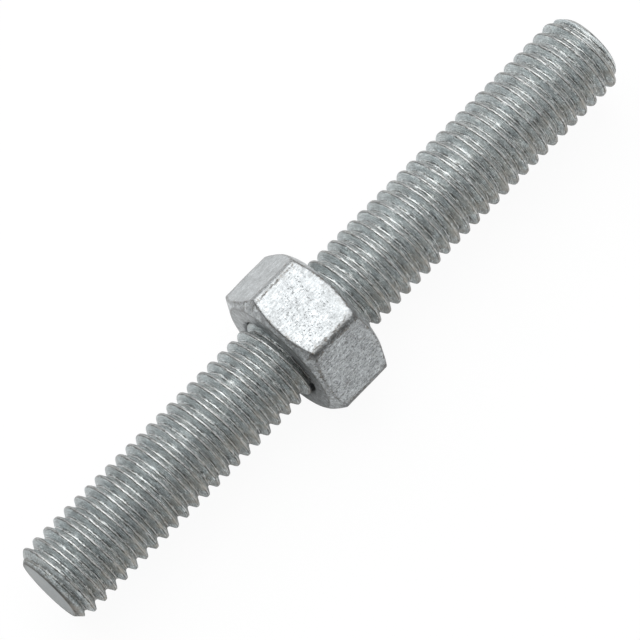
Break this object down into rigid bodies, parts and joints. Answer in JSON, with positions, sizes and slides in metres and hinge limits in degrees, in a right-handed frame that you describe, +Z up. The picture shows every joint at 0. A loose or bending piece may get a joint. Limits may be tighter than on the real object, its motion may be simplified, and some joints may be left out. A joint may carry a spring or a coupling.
{
  "type": "threaded rod with nut",
  "caption": "Short galvanised threaded rod, cut square and chamfered at both ends, with a double-chamfered hexagon nut turning on its right-hand thread.",
  "frame": {"origin": "on the rod's axis at mid-length", "axes": "+X along the rod away from the end that the nut is nearer to, +Y across the nut's corners, +Z up out of the nut flat opposite the one it rests on"},
  "size_m": [0.0676, 0.0146, 0.0128],
  "materials": {
    "zinc_rod": "hot-dip galvanised steel, semi-bright with small pits",
    "zinc_nut": "hot-dip galvanised steel, fine dark speckle and light scratches"
  },
  "bodies": {
    "rod": {"threaded_rod": "zinc_rod"},
    "nut": {"hex_nut": "zinc_nut"}
  },
  "joints": [
    {"name": "nut_turn", "type": "hinge", "parent": "rod", "child": "nut", "pos_m": [-0.00235, 0, 0], "axis": [1, 0, 0], "continuous": true}
  ]
}
